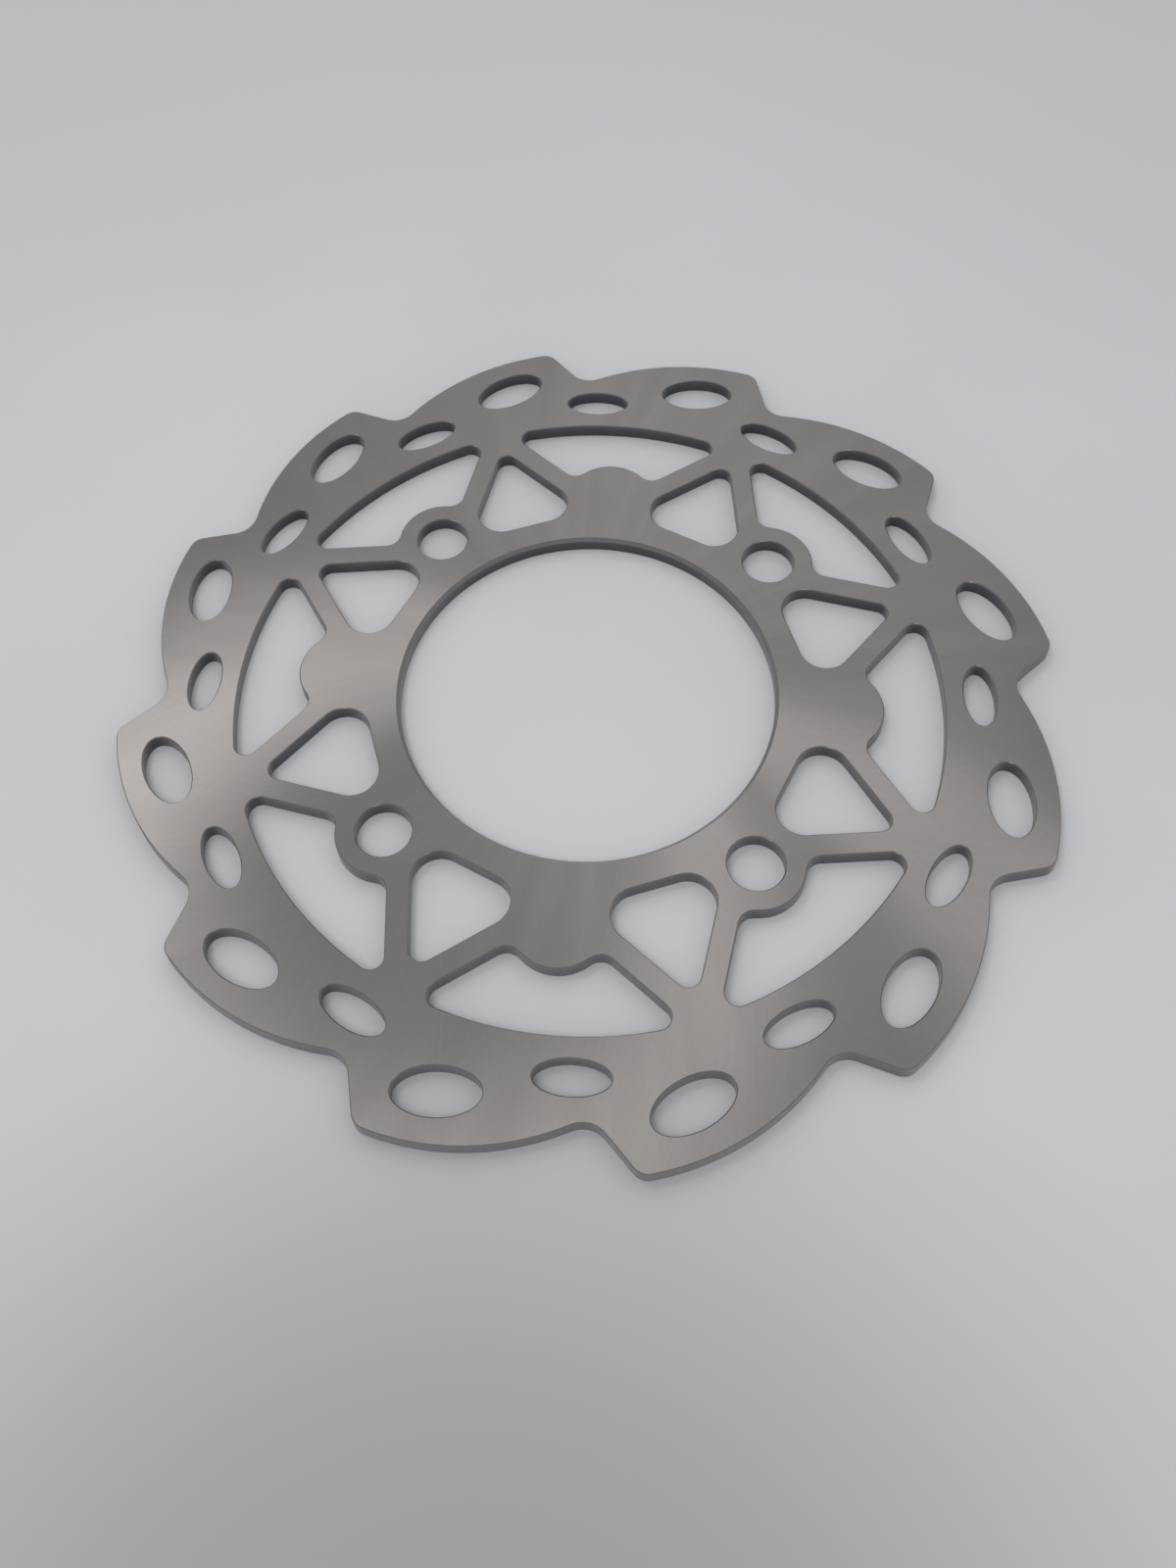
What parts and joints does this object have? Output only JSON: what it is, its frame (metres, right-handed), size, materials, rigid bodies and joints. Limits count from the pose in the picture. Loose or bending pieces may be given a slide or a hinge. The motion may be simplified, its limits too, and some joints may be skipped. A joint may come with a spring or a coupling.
{
  "type": "brake disc rotor",
  "caption": "Flat one-piece wave-edge brake disc for a small motorcycle wheel, with a central bore, bolt circle, arched windows and oval vents.",
  "frame": {"origin": "centre of the bore on the hub-side face", "axes": "+Z along the wheel axis, out of the outer face; a bolt hole lies at 45 degrees from +X; +X and +Y each pass through a blank boss"},
  "size_m": [0.1858, 0.1858, 0.0035],
  "materials": {
    "ground_steel": "satin ground faces, plain cut edges"
  },
  "bodies": {
    "root": {"rotor_disc": "ground_steel"}
  },
  "joints": []
}
